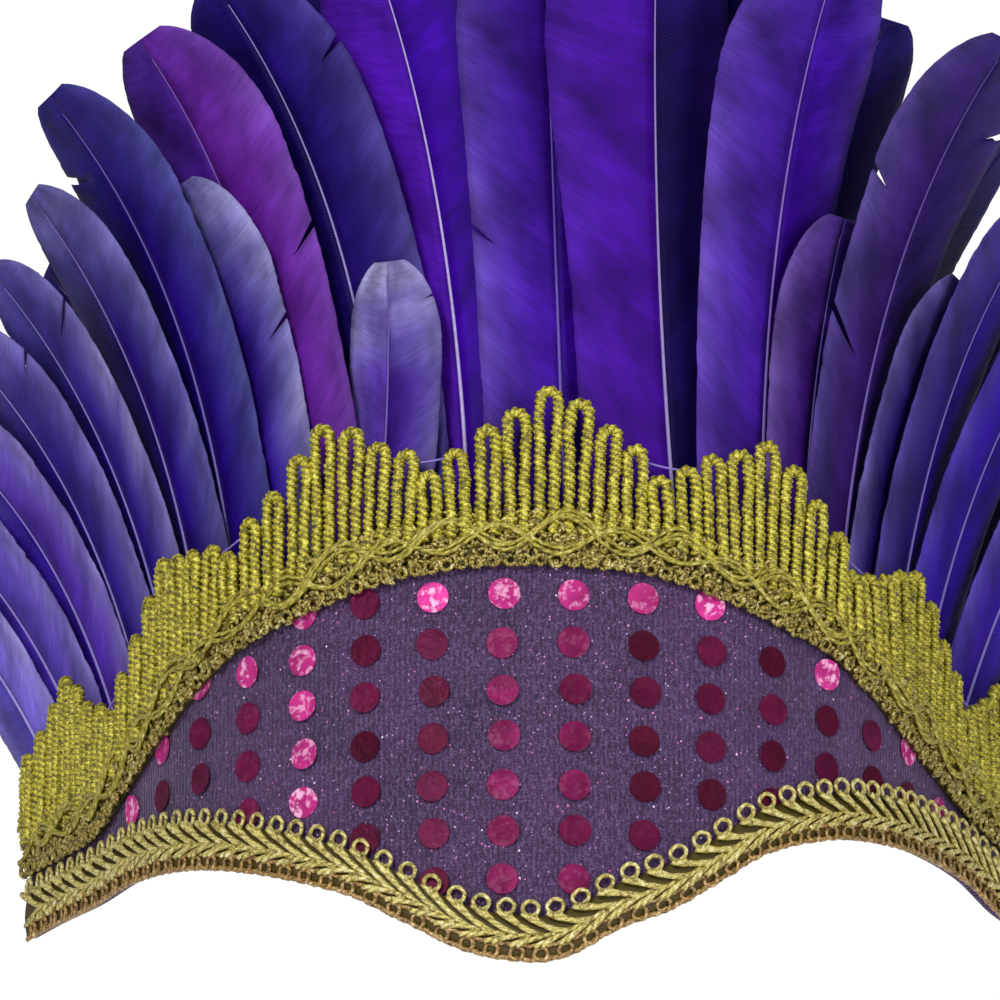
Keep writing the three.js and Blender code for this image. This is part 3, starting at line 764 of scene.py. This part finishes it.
# left, right, edge, tip_colour and shaft are colours; edge_left, edge_right and tip are
# how much of the paler colour shows there
LOOK_KEYS = ("left", "right", "edge", "edge_left", "edge_right", "tip_colour", "tip", "shaft")
# A right vane much darker than its left, as on the 12th and 14th feathers, is painted shade: its colour
# stands for that vane lying in shadow.
FRONT_LOOKS = [
    ("#6254c0", "#7a6cd0", "#b8b0ee", 0.6, 0.75, "#b8b0f0", 0.9, "#b0a6e4"),
    ("#4c34a8", "#6048b8", "#aca0e4", 0.45, 0.8, "#9c90dc", 0.8, "#9c8ed4"),
    ("#341c8c", "#5030a4", "#aa98dc", 0.25, 0.85, "#9084d0", 0.65, "#8c7cc8"),
    ("#261670", "#34208c", "#9a90d4", 0.2, 0.85, "#7c74c0", 0.6, "#8678c4"),
    ("#20146c", "#2c1684", "#a49cd8", 0.15, 0.95, "#6a64b4", 0.7, "#7c70bc"),
    ("#281870", "#2c167e", "#8e8cc8", 0.15, 0.7, "#7c78b8", 0.85, "#7c6cb8"),
    ("#221670", "#2a187c", "#7c80bc", 0.1, 0.5, "#3c3484", 0.6, "#6858ac"),
    ("#3a2290", "#381a94", "#a5a2d2", 0.7, 0.95, "#9492c4", 0.9, "#6c54ac"),
    ("#4e2a90", "#6a2c9c", "#9270c4", 0.2, 0.4, "#4c3484", 0.5, "#7c4ca8"),
    ("#5a3ca4", "#4c2c9c", "#a8a2d4", 0.5, 0.5, "#aca8d6", 1.0, "#6a50ac"),
    ("#1c1258", "#2a1a74", "#7a70b8", 0.15, 0.5, "#2a2070", 0.5, "#9a8cc8"),
    ("#5628ac", "#4420a0", "#6a48bc", 0.2, 0.2, "#5434a8", 0.3, "#c4b4e8"),
    ("#46249a", "#3c1c90", "#8a74c8", 0.45, 0.2, "#4c2ca0", 0.3, "#5c3ea8"),
    ("#4c229c", "#1c1150", "#6a48b8", 0.3, 0.2, "#4a2a9c", 0.3, "#9c8ac0"),
    ("#4c2aa0", "#43209c", "#8a72c8", 0.45, 0.3, "#5a3cae", 0.5, "#8a68c4"),
    ("#43207c", "#3a1a80", "#9a82c8", 0.6, 0.2, "#6a50a8", 0.5, "#5a3a98"),
    ("#3a2070", "#3a2470", "#8070b8", 0.5, 0.25, "#332868", 0.5, "#5c409a"),
    ("#281868", "#2c1a78", "#8a7cc4", 0.6, 0.2, "#7a70b8", 0.6, "#6a58b0"),
    ("#2c1a7c", "#30188a", "#8a7ccc", 0.5, 0.2, "#4c40a0", 0.6, "#7866bc"),
    ("#33189a", "#35209c", "#8478cc", 0.4, 0.2, "#5a50b0", 0.6, "#7c6cc4"),
    ("#3c1f9c", "#3c28a4", "#9488d8", 0.4, 0.3, "#7068c0", 0.7, "#8a7ccc"),
    ("#4a35b0", "#5c48c0", "#aca0e4", 0.5, 0.5, "#9088d4", 0.8, "#a294dc"),
]
# The back row's dark colours are painted shade: they stand for the shadowed feathers seen between those in
# front.
BACK_LOOK = ("#1e1458", "#221860", "#4c44a0", 0.35, 0.35, "#3c3488", 0.5, "#5a50a0")

for number, (row, tones) in enumerate(zip(FRONT_ROW, FRONT_LOOKS), 1):
    feather("front", number, FRONT_BEHIND, dict(zip(SHAFT_KEYS, row)), dict(zip(LOOK_KEYS, tones)))
for number, row in enumerate(BACK_ROW, 1):
    feather("back", number, BACK_BEHIND, dict(zip(SHAFT_KEYS, row)), dict(zip(LOOK_KEYS, BACK_LOOK)))

# ---- panel
PANEL_ROWS = 26
PANEL_COLUMNS = 240


def panel():
    s = np.linspace(-HALF_LENGTH, HALF_LENGTH, PANEL_COLUMNS)
    low, high = lower_edge(s) + PANEL_INSET, lace_edge(s) + PANEL_UNDER_LACE
    share = np.linspace(0, 1, PANEL_ROWS)
    h = low + (high - low) * share[:, None]
    grid_s = np.broadcast_to(s, h.shape)
    edge = np.minimum(np.minimum(h - low, high - h), HALF_LENGTH - np.abs(grid_s))
    soft = 0.7 * (1 - np.clip(edge / 1.2, 0, 1)) ** 2
    puff = 0.12 * np.sin(grid_s * 0.21 + 1.0) * np.sin(h * 0.17)
    front = band(grid_s, h, -soft + puff).reshape(-1, 3)
    back = band(grid_s, h, -PANEL_WALL + soft).reshape(-1, 3)
    quads = grid_faces(PANEL_ROWS, PANEL_COLUMNS)
    points, faces = thicken(front, back, quads)
    use = np.zeros(len(faces), int)
    use[len(quads):2 * len(quads)] = 1
    flat = {"s": np.tile(grid_s.ravel(), 2), "h": np.tile(h.ravel(), 2)}
    add_mesh("panel_fabric", points, faces.tolist(), [FABRIC, FELT], ["forehead_panel"], "panel_fabric",
             use, flat)


SEQUIN_RINGS = np.array([0.0, 0.9, 1.8, 2.6, 2.95, 3.0])
SEQUIN_SIDES = 28
SEQUIN_WAVES = 7
SEQUIN_THICK = 0.14
SEQUIN_OFF = 0.42
SEQUIN_OVER_EDGE = 9.2       # least height of a disc's middle over the lower edge
SEQUIN_UNDER_LACE = 2.2      # how far the last row's middles may go under the lace
BRIGHT_COLUMN = 4
PALE_COLUMNS = (3, 7, 8)
DULL_TOP_COLUMN = 5


def sequin_shine(column, s, h, chance):
    """How much painted highlight a sequin's colour takes, 0 to 1: one column and most of the top row are
    painted as catching the light.
    """
    if column == BRIGHT_COLUMN and h > 30:
        return 0.7 + 0.3 * chance
    if h > lace_edge(s) - 6 and column != DULL_TOP_COLUMN:
        return 0.5 + 0.5 * chance
    if column in PALE_COLUMNS:
        return 0.1 + 0.16 * chance
    return 0.1 * chance


def sequin_faces():
    """Faces of one disc; the middle is one point, so its first ring is a fan of triangles."""
    rings, sides = len(SEQUIN_RINGS), SEQUIN_SIDES
    following = [(k + 1) % sides for k in range(sides)]
    made = grid_faces(rings, sides, 0, True)[sides:].tolist()
    made += [[0, sides + n, sides + k] for k, n in enumerate(following)]
    total = rings * sides
    made += [[a + total for a in face[::-1]] for face in made]
    rim = (rings - 1) * sides
    return made + [[rim + n, rim + k, rim + k + total, rim + n + total] for k, n in enumerate(following)]


def sequin_points(rng, s, h, bright):
    """Front and back of one crumpled disc."""
    phi = np.arange(SEQUIN_SIDES) / SEQUIN_SIDES * 2 * math.pi
    tilt = rng.uniform(-0.06, 0.06, 2) * (1 + bright)
    # four rows are drawn and one is used, so that every later draw stays as it is
    crumple = (0.05 + 0.22 * bright) * rng.uniform(-1, 1, (4, SEQUIN_WAVES))[0]
    wave = np.interp(phi, np.linspace(0, 2 * math.pi, SEQUIN_WAVES + 1), np.append(crumple, crumple[0]))
    share = SEQUIN_RINGS[:, None] / 3
    x, y = SEQUIN_RINGS[:, None] * np.cos(phi), SEQUIN_RINGS[:, None] * np.sin(phi)
    off = SEQUIN_OFF + (0.1 * share ** 2 + wave * share) + tilt[0] * x + tilt[1] * y
    off = np.maximum(off, 0.22)
    ds, dh = rng.uniform(-0.25, 0.25, 2)
    return [band(s + ds + x, h + dh + y, off - back).reshape(-1, 3) for back in (0, SEQUIN_THICK)]


def sequins():
    rng = np.random.default_rng(21)
    one = sequin_faces()
    points, faces, tints, glints, count = [], [], [], [], 0
    for column in range(SEQUIN_COLUMNS):
        s = SEQUIN_MIDDLE + (column - (SEQUIN_COLUMNS - 1) / 2) * SEQUIN_COLUMN_STEP
        h = FIRST_SEQUIN_ROW
        while h <= lace_edge(s) + SEQUIN_UNDER_LACE:
            if h >= lower_edge(s) + SEQUIN_OVER_EDGE:
                bright = sequin_shine(column, s, h, rng.uniform(0, 1))
                made = sequin_points(rng, s, h, bright)
                points += made
                faces += [[a + count for a in face] for face in one]
                total = sum(map(len, made))
                # painted highlight: dark crimson foil, mixed to bright pink by how much the sequin is taken
                # to catch the light
                tints.append(np.tile(srgb("#4c0a26") * (1 - bright) + srgb("#e43c9c") * bright, (total, 1)))
                glints.append(np.full(total, bright))
                count += total
            h += SEQUIN_ROW_STEP
    add_mesh("sequins", np.concatenate(points), faces, [FOIL], ["forehead_panel"], "panel_fabric", None,
             {"tint": np.concatenate(tints), "glint": np.concatenate(glints)})


# ---- lace
LACE_PLACE = (["fan_lace_trim"], "gold_lace")
BED_OFF = 0.32               # back of a bed, just clear of the panel


def lace_loops():
    rng = np.random.default_rng(5)
    loops = Bundle()
    for motif in range(MOTIFS):
        for i, height in enumerate(LOOPS):
            s = LACE_MIDDLE + (motif - 3) * MOTIF_STEP + (i - 4) * MOTIF_STEP / 8
            if abs(s) > HALF_LENGTH - 2.4:
                continue
            foot, crown = lace_edge(s) + 6.2, lace_edge(s) + LACE_BED + height * rng.uniform(0.95, 1.03)
            eye = 0.42 if height > 18 else 0.15
            lean = (i - 3.5) * 0.018 * height + rng.uniform(-0.5, 0.5)
            half, top = 1.34, 1.35
            t = np.linspace(0, 1, 16)
            spread = half + eye * np.sin(math.pi * np.clip((t - 0.5) / 0.72, 0, 1)) ** 2
            up_h = foot + (crown - top - 1.0 - foot) * t
            arc = np.linspace(math.pi, 0, 11)[1:-1]
            end = spread[-1]
            shape_x = np.concatenate([-spread, end * np.cos(arc), spread[::-1]])
            shape_h = np.concatenate([up_h, up_h[-1] + top * np.sin(arc) * 1.1, up_h[::-1]])
            share = (shape_h - foot) / (crown - foot)
            wiggle = 0.12 * np.sin(shape_h * 0.9 + i * 2 + motif)
            off = 1.65 + 0.35 * np.sin(share * 2.2 + i) + np.where(shape_x > 0, 0.15, -0.1)
            line = np.stack([s + shape_x + lean * share ** 1.5 + wiggle, shape_h, off], 1)
            lumps = rng.uniform(0.9, 1.16, 70)
            loops.cord(line, lambda q: np.interp(q * 69, np.arange(70), lumps), 0.36, sides=9, lobe=0.22,
                       pitch=rng.uniform(1.0, 1.35))
    loops.piece("lace_loops", [LOOP_GOLD], *LACE_PLACE)


def bed_strip(name, edge, end, columns, low, width, hump, material, where):
    """A low strip that follows an edge of the band.  hump: height over its back at
    (share across, s, h)."""
    s = np.linspace(-end, end, columns)
    share = np.linspace(0, 1, 7)[:, None]
    h = edge(s) + low + width * share
    grid_s = np.broadcast_to(s, h.shape)
    front = band(grid_s, h, hump(share, grid_s, h)).reshape(-1, 3)
    back = band(grid_s, h, BED_OFF).reshape(-1, 3)
    points, faces = thicken(front, back, grid_faces(7, columns))
    add_mesh(name, points, faces.tolist(), [material], *where)


def lace_bed():
    def hump(share, s, h):
        return 0.75 + (0.45 * arch(share) + 0.15 * np.sin(s * 2.9) * np.sin(h * 2.3))

    # The strip is dark so that the gaps between the knots and loops read as shade: painted shade.
    bed_strip("lace_ground_strip", lace_edge, HALF_LENGTH - 0.6, 300, 0.6, LACE_BED - 1.2, hump,
              LACE_GROUND, LACE_PLACE)


def knots():
    """Knots of yarn over the bed: small curls lying every way."""
    rng = np.random.default_rng(11)
    bed = Bundle()
    count = 1500
    spots_s = np.linspace(-HALF_LENGTH + 1.5, HALF_LENGTH - 1.5, count) + rng.uniform(-0.6, 0.6, count)
    spots_s = np.clip(spots_s, -HALF_LENGTH + 1.4, HALF_LENGTH - 1.4)
    lanes = (np.arange(count) * 0.618034) % 1
    for s, lane in zip(spots_s, lanes):
        h = lace_edge(s) + 0.7 + (LACE_BED - 1.6) * lane + rng.uniform(-0.3, 0.3)
        turn = rng.uniform(0, 2 * math.pi)
        radius = rng.uniform(0.45, 0.8)
        arc = turn + np.linspace(0, rng.uniform(3.2, 5.2), 9)
        lift = 1.5 + rng.uniform(-0.25, 0.5) + 0.3 * np.sin(arc)
        line = np.stack([s + radius * np.cos(arc), h + radius * np.sin(arc), lift], 1)
        bed.cord(line, rng.uniform(0.4, 0.58), 0.5, sides=6, lobe=0.2, pitch=0.9)
    bed.piece("lace_knots", [BEAD_GOLD], *LACE_PLACE)


def waves():
    """Two wavy braids of smooth parallel strands that cross along the bed."""
    strands = Bundle()
    s = np.arange(-HALF_LENGTH + 1.2, HALF_LENGTH - 1.2, 0.5)
    for phase, rise, middle, count in ((0.5, 2.9, 6.7, 3), (math.pi + 0.9, 2.2, 5.4, 2)):
        turn = (s - LACE_MIDDLE) / (MOTIF_STEP / 2) * 2 * math.pi + phase
        for k in range(count):
            offset = (k - (count - 1) / 2) * (0.62 + 0.3 * np.sin(s * 0.11 + k * 2.1))
            wobble = 0.5 * np.sin(s * 0.17 + phase) + 0.3 * np.sin(s * 0.37 + k * 2 + phase)
            h = lace_edge(s) + middle + rise * np.sin(turn) + offset + wobble
            off = 2.75 + 0.3 * np.sin(turn + 1.2 + phase) + 0.08 * np.sin(s * 0.9 + k)
            strands.cord(np.stack([s, h, off], 1), 0.4, 0.5, sides=7, lobe=0.08, pitch=2.2)
    strands.piece("lace_waves", [WAVE_GOLD], *LACE_PLACE)


def inner_curls():
    """Small open curls along the lace's lower edge."""
    rng = np.random.default_rng(3)
    curls = Bundle()
    for s in np.arange(-HALF_LENGTH + 2.4, HALF_LENGTH - 2.4, 2.9):
        s = s + rng.uniform(-0.3, 0.3)
        arc = np.linspace(-0.3, 2 * math.pi * 0.92, 14) + rng.uniform(0, 6)
        size = rng.uniform(0.85, 1.2)
        h = lace_edge(s) + 1.1 + size * np.sin(arc)
        line = np.stack([s + size * 1.1 * np.cos(arc), h, 2.0 + 0.25 * np.sin(arc)], 1)
        curls.cord(line, 0.4, 0.4, sides=6, lobe=0.18, pitch=0.9)
    curls.piece("lace_curls", [BEAD_GOLD], *LACE_PLACE)


THREAD_HIGH = 11.2           # over the bed


def valley_threads():
    """A loose thread bridges the dip between two fans."""
    threads = Bundle()
    for motif in range(MOTIFS - 1):
        s0 = LACE_MIDDLE + (motif - 3) * MOTIF_STEP + 3 * MOTIF_STEP / 8
        s1 = s0 + 2 * MOTIF_STEP / 8
        t = np.linspace(0, 1, 12)
        h = lace_edge(s0) * (1 - t) + lace_edge(s1) * t + LACE_BED + THREAD_HIGH - 0.5 * arch(t)
        line = np.stack([s0 + (s1 - s0) * t, h, np.full(12, 1.0)], 1)
        threads.cord(line, 0.22, 0.6, sides=6, lobe=0.1, pitch=1.2)
    threads.piece("valley_threads", [LILAC], *LACE_PLACE)


# ---- gimp braid
BRAID_PLACE = (["lower_gimp_braid"], "gold_gimp")
BRAID_END = 144.5
PICOT_LINE = BRAID_WIDTH + 0.35          # height of the picots' middles
RIM_LINE = 1.75              # height of the tan rings' middles


def braid_ground():
    bed_strip("braid_ground", lower_edge, BRAID_END + 0.5, 320, 0.9, BRAID_WIDTH - 1.9,
              lambda share, s, h: 0.7 + 0.5 * arch(share), GIMP_GROUND, BRAID_PLACE)


def braid_strands():
    rng = np.random.default_rng(8)
    gimp = Bundle()
    turn = np.linspace(0, 2 * math.pi, 19)

    def ring(s, h, wide, high, lean, off, tip, **look):
        """An upright ring, leaning with the edge."""
        line = [s + wide * np.cos(turn), h + high * np.sin(turn) + wide * lean * np.cos(turn),
                off + tip * np.cos(turn)]
        gimp.cord(np.stack(line, 1), step=0.42, sides=7, pitch=2.0, **look)

    def strand(run, rise, off, thick, thin):
        """A strand that lies along the braid and thins to its end."""
        run = np.minimum(run, BRAID_END)
        gimp.cord(np.stack([run, lower_edge(run) + rise, off], 1), lambda q: thick - (thick - thin) * q,
                  sides=7, lobe=0.05, pitch=2.2)

    for s in np.arange(-143, 143, PICOT_STEP):
        s = s + rng.uniform(-0.15, 0.15)
        lean = float(lower_edge(s + 1) - lower_edge(s - 1)) / 2 * 0.35
        # a picot, and the strands that leave it for the middle of the braid
        ring(s, lower_edge(s) + PICOT_LINE, 1.5, 1.45, lean, 1.25, 0.2, radius=0.42, lobe=0.05)
        t = np.linspace(0, 1, 16)
        for k in range(3):
            fall = (PICOT_LINE - 1.1 - 0.3 * k - (PICOT_LINE - 6.4) * (t ** 0.75)
                    - 0.35 * k * arch(t))
            strand(s - 1.5 + 1.1 * k + 8.2 * t, fall, 2.0 - 0.1 * k - 0.75 * t + 0.35 * arch(t),
                   0.56, 0.42)
        # a tan ring along the lower rim, and the strands that rise from it
        ring(s + 1.9, lower_edge(s + 1.9) + RIM_LINE, 1.25, 1.25, lean, 1.2, 0.15, radius=0.4, lobe=0.06,
             material=1)
        t = np.linspace(0, 1, 14)
        for k in range(2):
            rise = RIM_LINE + 1.2 + (4.1 - RIM_LINE) * (t ** 0.8) + 0.4 * k * arch(t)
            strand(s + 0.6 + 1.3 * k + 7.2 * t, rise, 1.9 - 0.65 * t + 0.3 * arch(t), 0.54, 0.42)
    s = np.arange(-BRAID_END, BRAID_END, 0.5)
    for h, off, radius in ((0.75, 0.85, 0.5), (3.3, 1.35, 0.42)):
        line = np.stack([s, lower_edge(s) + h + 0.12 * np.sin(s * 2.1), np.full(len(s), off)], 1)
        gimp.cord(line, radius, 0.45, material=1, sides=7, lobe=0.14, pitch=1.3)
    gimp.piece("braid_strands", [GIMP_GOLD, GIMP_TAN], *BRAID_PLACE)


# ---- strap
STRAP_WIDTH = 20
STRAP_THICK = 1.5
STRAP_HEIGHT = 43.5
STRAP_OVERLAP = 13
STRAP_RISE = 38              # it runs up to the back of the head by this much
STRAP_EASE = 24              # depth before the panel's ends where the rise would begin
STRAP_BEND = (20, math.radians(46))      # radius and turn just past the panel
STITCH_OFF = np.array([-4.25, -4.35, -4.38, -4.35, -4.25])


def strap_plan():
    """x, depth and heading of the strap's middle line, right half from panel to back."""
    off = -PANEL_WALL - GAP - STRAP_THICK / 2
    angle = ARC_HALF / RADIUS
    s = np.linspace(HALF_LENGTH - STRAP_OVERLAP, HALF_LENGTH, 10)
    straight = s - ARC_HALF
    x = RADIUS * math.sin(angle) + straight * math.cos(angle) + off * math.sin(angle)
    depth = RADIUS * (1 - math.cos(angle)) + straight * math.sin(angle) - off * math.cos(angle)
    line = [np.stack([x, depth, np.full(10, angle)], 1)]
    for radius, turn, count in ((*STRAP_BEND, 24), (None, None, 70)):
        x0, d0, heading = line[-1][-1]
        radius = radius or x0 / math.sin(heading)
        turn = turn or math.pi - heading
        centre = (x0 - radius * math.sin(heading), d0 + radius * math.cos(heading))
        at = heading + np.linspace(0, turn, count + 1)[1:]
        line.append(np.stack([centre[0] + radius * np.sin(at), centre[1] - radius * np.cos(at), at], 1))
    right = np.concatenate(line)
    left = right[-2::-1] * [-1, 1, -1] + [0, 0, 2 * math.pi]
    return np.concatenate([right, left])


def strap():
    plan = strap_plan()
    up = np.array([0, math.sin(TILT), math.cos(TILT)])
    back = np.array([0, math.cos(TILT), -math.sin(TILT)])
    ends, deepest = plan[9, 1], plan[:, 1].max()
    climb = smoothstep(plan[:, 1:2], ends - STRAP_EASE, deepest)
    start = smoothstep(ends, ends - STRAP_EASE, deepest)
    rise = STRAP_RISE * np.maximum(0, (climb - start) / (1 - start))
    middle = PEAK + plan[:, :1] * [1, 0, 0] + plan[:, 1:2] * back + (STRAP_HEIGHT + rise) * up
    out = np.sin(plan[:, 2:]) * [1, 0, 0] - np.cos(plan[:, 2:]) * back
    rows = 34
    across = np.linspace(-1, 1, rows)
    rib = 0.1 * np.cos(across * math.pi * 8) + 0.12 * (np.abs(across) > 0.9)
    round_off = 0.55 * np.clip((np.abs(across) - 0.93) / 0.07, 0, 1) ** 2
    half = STRAP_THICK / 2 - 0.12 + rib - round_off
    run = run_along(middle)
    base = middle[:, None] + across[None, :, None] * STRAP_WIDTH / 2 * up
    front = (base + half[None, :, None] * out[:, None]).reshape(-1, 3)
    behind = (base - half[None, :, None] * out[:, None]).reshape(-1, 3)
    points, faces = thicken(front, behind, grid_faces(len(middle), rows)[:, ::-1])
    flat = {"s": np.tile(np.repeat(run, rows), 2), "h": np.tile(np.tile(across * 10, len(run)), 2)}
    add_mesh("elastic_strap_web", points, faces.tolist(), [ELASTIC], ["elastic_strap"], "elastic", None, flat)


def strap_stitches():
    """Zigzag stitches that hold each end behind the panel."""
    stitches = Bundle()
    for hand in (-1, 1):
        for column in (5, 9):
            zig = np.arange(-8.5, 8.6, 1.7)
            s = hand * (HALF_LENGTH - column - 0.9 * (np.arange(len(zig)) % 2))
            for a in range(len(zig) - 1):
                up = STRAP_HEIGHT + np.linspace(zig[a], zig[a + 1], 5)
                line = np.stack([np.linspace(s[a], s[a + 1], 5), up, STITCH_OFF], 1)
                stitches.cord(line, 0.2, 0.4, sides=6, lobe=0.1, pitch=1.0)
    stitches.piece("strap_stitches", [STITCH], ["elastic_strap"], "elastic")


panel()
sequins()
lace_bed()
knots()
lace_loops()
waves()
inner_curls()
valley_threads()
braid_ground()
braid_strands()
strap()
strap_stitches()

# ---- floor and backdrop
FLOOR_Z, FLOOR_RADIUS, FLOOR_SIDES = -0.3, 3, 48         # metres
CARD = [(-2, 10, -1.5), (2, 10, -1.5), (2, 10, 2.0), (-2, 10, 2.0)]


def stage_piece(name, corners, material):
    """One flat face, in metres."""
    mesh = bpy.data.meshes.new(name)
    mesh.from_pydata(corners, [], [list(range(len(corners)))])
    mesh.materials.append(material)
    piece = bpy.data.objects.new(name, mesh)
    scene.collection.objects.link(piece)
    return piece


def paper_material():
    n = Nodes("floor_paper", Specular_IOR_Level=0.2)
    n.colour(n.mix(n.noise(n.place(), 40.0, 3.0), "#e9e8ec", "#f4f3f6"))
    n.rough(0.9)
    return n.material


def card_material():
    """A white light of its own, far behind, so the front view has the photo's white ground."""
    n = Nodes("white_card", Emission_Strength=1.0)
    n.shader.inputs["Emission Color"].default_value = (1, 1, 1, 1)
    n.shader.inputs["Base Color"].default_value = (0, 0, 0, 1)
    return n.material


turns = np.arange(FLOOR_SIDES) / FLOOR_SIDES * 2 * math.pi
ring = [(FLOOR_RADIUS * math.cos(a), FLOOR_RADIUS * math.sin(a), FLOOR_Z) for a in turns]
floor = stage_piece("floor", ring, paper_material())
card = stage_piece("white_card", CARD, card_material())
